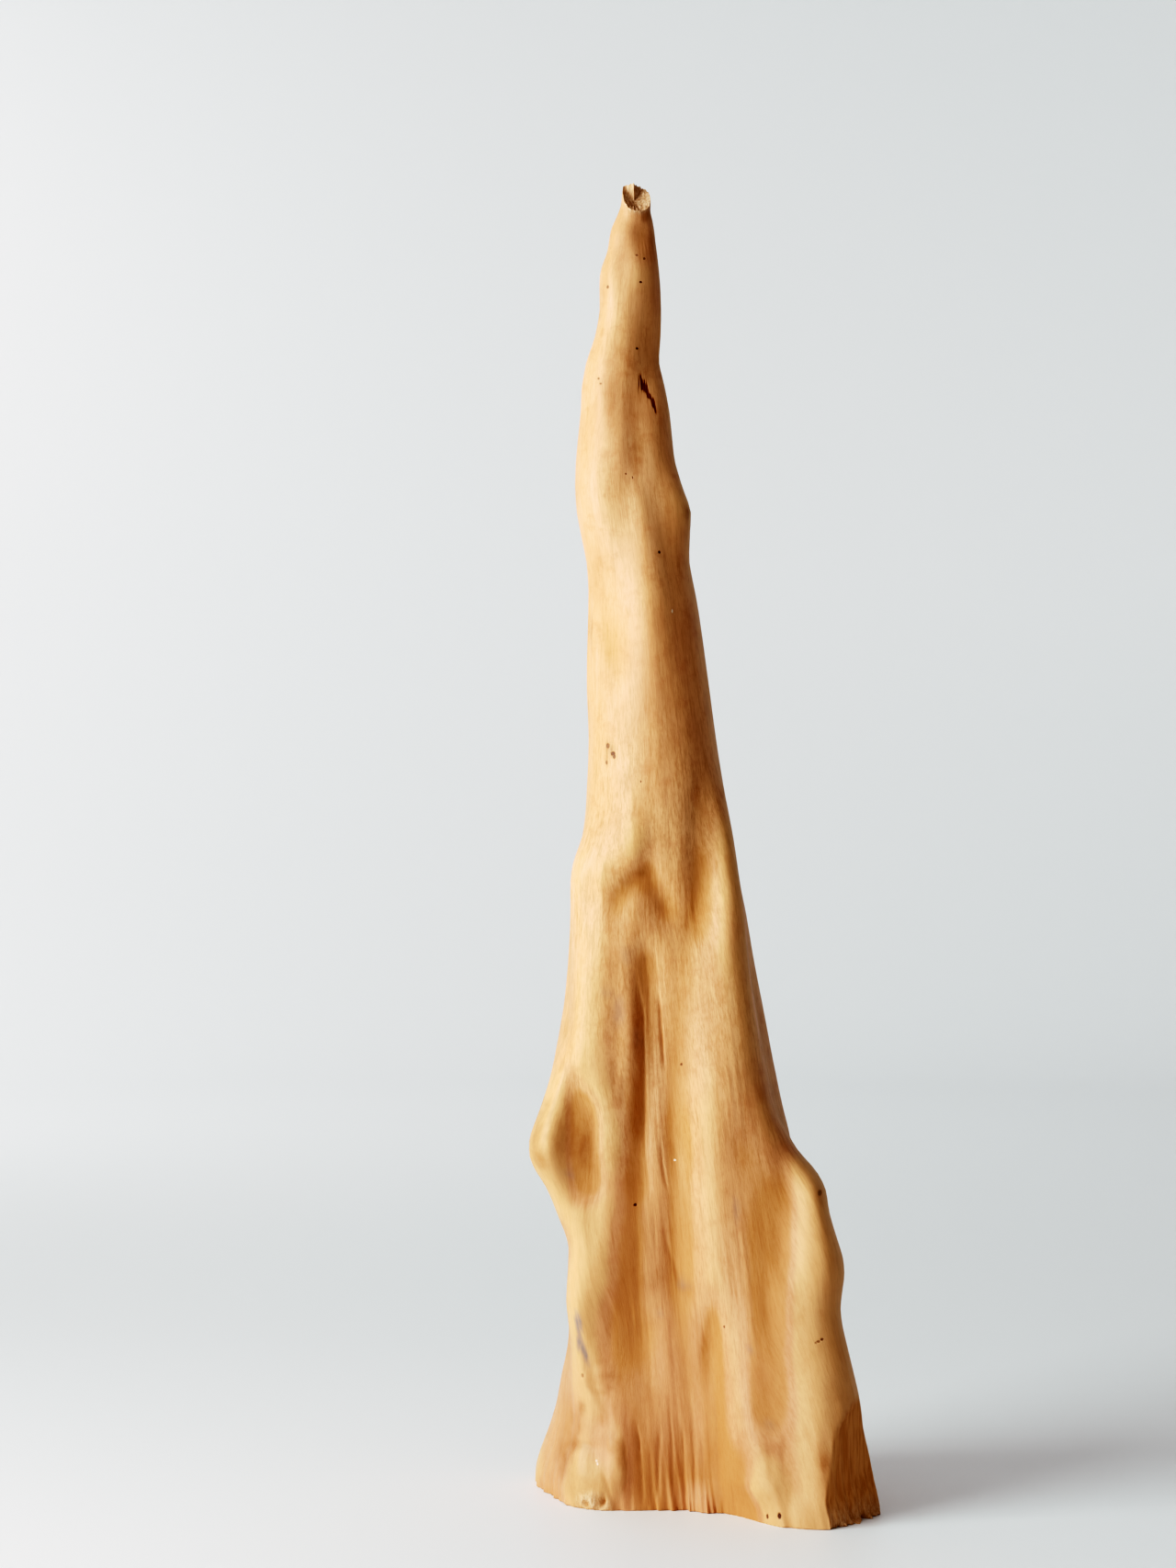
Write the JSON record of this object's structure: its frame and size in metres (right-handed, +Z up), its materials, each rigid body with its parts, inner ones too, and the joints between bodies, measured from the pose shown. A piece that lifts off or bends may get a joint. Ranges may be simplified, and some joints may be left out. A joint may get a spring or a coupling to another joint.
{
  "type": "wood sculpture",
  "caption": "Free-standing sculpture of a peeled and polished wood root knee: a tall tapering spire with a broken tip, folded ribs and knobs, and a spreading foot sawn flat.",
  "frame": {"origin": "on the sawn resting face, under the middle of the knee's bounding box", "axes": "+Z up along the knee's height, +X towards the lobe with the axe cut, -Y out of the front with the long valley"},
  "size_m": [0.2356, 0.1834, 0.9],
  "materials": {
    "wood": "peeled, sanded and polished to a satin sheen"
  },
  "bodies": {
    "root": {"root_knee": "wood"}
  },
  "joints": []
}
